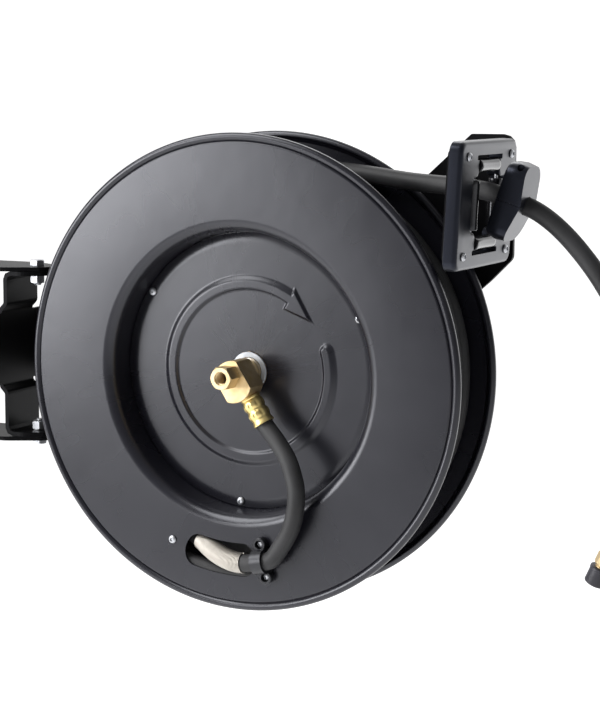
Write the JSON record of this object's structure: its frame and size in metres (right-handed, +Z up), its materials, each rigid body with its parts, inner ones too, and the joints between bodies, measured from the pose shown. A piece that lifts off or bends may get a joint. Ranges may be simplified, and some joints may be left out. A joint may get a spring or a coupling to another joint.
{
  "type": "air hose reel",
  "caption": "Spring-driven air hose reel: pressed drum on a swinging wall bracket, with a roller guide, a brass swivel inlet and a rubber hose that ends in a capped fitting.",
  "frame": {"origin": "middle of the wall plate's back face", "axes": "+X out from the wall, +Z up along the swing axis, the drum's axis along Y with the air inlet facing -Y"},
  "size_m": [0.7423, 0.1627, 0.4302],
  "materials": {
    "frame_coat": "satin black powder coat",
    "pressed_coat": "satin black powder coat on pressed sheet",
    "zinc": "bright zinc plate",
    "steel": "turned steel",
    "spring_steel": "oiled spring strip",
    "bronze": "sintered bronze",
    "brass": "machined brass",
    "hose_rubber": "smooth black rubber",
    "moulded_plastic": "satin moulded black",
    "roller_plastic": "smooth black"
  },
  "bodies": {
    "wall": {"wall_bracket": "frame_coat", "swing_bolt_top": "zinc", "swing_bolt_bottom": "zinc", "swing_nut_top": "zinc", "swing_nut_bottom": "zinc"},
    "carrier": {"main_arm": "frame_coat", "guide_arm": "frame_coat", "guide_arm_bolt_1": "zinc", "guide_arm_bolt_2": "zinc", "axle": "steel", "axle_nut": "zinc", "pawl_pin": "zinc", "pawl_spring": "spring_steel", "inlet_stem": "brass", "hose_lead": "hose_rubber", "guide_housing": "moulded_plastic", "roller_pin_left": "steel", "roller_pin_right": "steel", "roller_pin_top": "steel", "roller_pin_bottom": "steel", "guide_screw_1": "zinc", "guide_screw_2": "zinc", "guide_screw_3": "zinc", "guide_screw_4": "zinc", "stop_upper": "moulded_plastic", "stop_lower": "moulded_plastic", "stop_screw_1": "zinc", "stop_screw_2": "zinc", "hose_tail": "hose_rubber", "end_fitting": "brass", "end_cap": "hose_rubber"},
    "drum": {"flange_front": "pressed_coat", "flange_back": "pressed_coat", "barrel": "pressed_coat", "spring_cover": "pressed_coat", "cover_screw_1": "zinc", "cover_screw_2": "zinc", "cover_screw_3": "zinc", "spring_case": "pressed_coat", "mainspring": "spring_steel", "back_disc": "pressed_coat", "bearing_front": "bronze", "bearing_back": "bronze", "bearing_collar": "zinc", "ratchet_wheel": "steel", "swivel_body": "brass", "hose_ferrule": "brass", "hose_inner_end": "hose_rubber", "hose_saddle": "moulded_plastic", "saddle_screw_1": "zinc", "saddle_screw_2": "zinc", "flange_screw": "zinc", "kink_guard": "zinc", "hose_core": "hose_rubber", "hose_winding": "hose_rubber"},
    "pawl": {"pawl": "steel"},
    "side_roller_left": {"roller_left": "roller_plastic"},
    "side_roller_right": {"roller_right": "roller_plastic"},
    "level_roller_top": {"roller_top": "roller_plastic"},
    "level_roller_bottom": {"roller_bottom": "roller_plastic"}
  },
  "joints": [
    {"name": "swing", "type": "hinge", "parent": "wall", "child": "carrier", "pos_m": [0.125, 0, 0], "axis": [0, 0, 1], "range_deg": [-80, 80]},
    {"name": "drum_spin", "type": "hinge", "parent": "carrier", "child": "drum", "pos_m": [0.3675, 0, 0], "axis": [0, -1, 0], "continuous": true, "deforming": ["mainspring", "hose_lead"]},
    {"name": "pawl_tilt", "type": "hinge", "parent": "carrier", "child": "pawl", "pos_m": [0.43449, 0.045, 0.01444], "axis": [0, -1, 0], "range_deg": [0, 25], "stiffness_Nm_per_rad": 0.06, "springref_deg": -20.05, "deforming": ["pawl_spring"]},
    {"name": "roller_left_spin", "type": "hinge", "parent": "carrier", "child": "side_roller_left", "pos_m": [0.5833, -0.033, 0.15621], "axis": [0.0523, 0, 0.9986], "continuous": true},
    {"name": "roller_right_spin", "type": "hinge", "parent": "carrier", "child": "side_roller_right", "pos_m": [0.5833, 0.021, 0.15621], "axis": [0.0523, 0, 0.9986], "continuous": true},
    {"name": "roller_top_spin", "type": "hinge", "parent": "carrier", "child": "level_roller_top", "pos_m": [0.58503, -0.006, 0.18916], "axis": [0, 1, 0], "continuous": true},
    {"name": "roller_bottom_spin", "type": "hinge", "parent": "carrier", "child": "level_roller_bottom", "pos_m": [0.58158, -0.006, 0.12326], "axis": [0, 1, 0], "continuous": true}
  ]
}
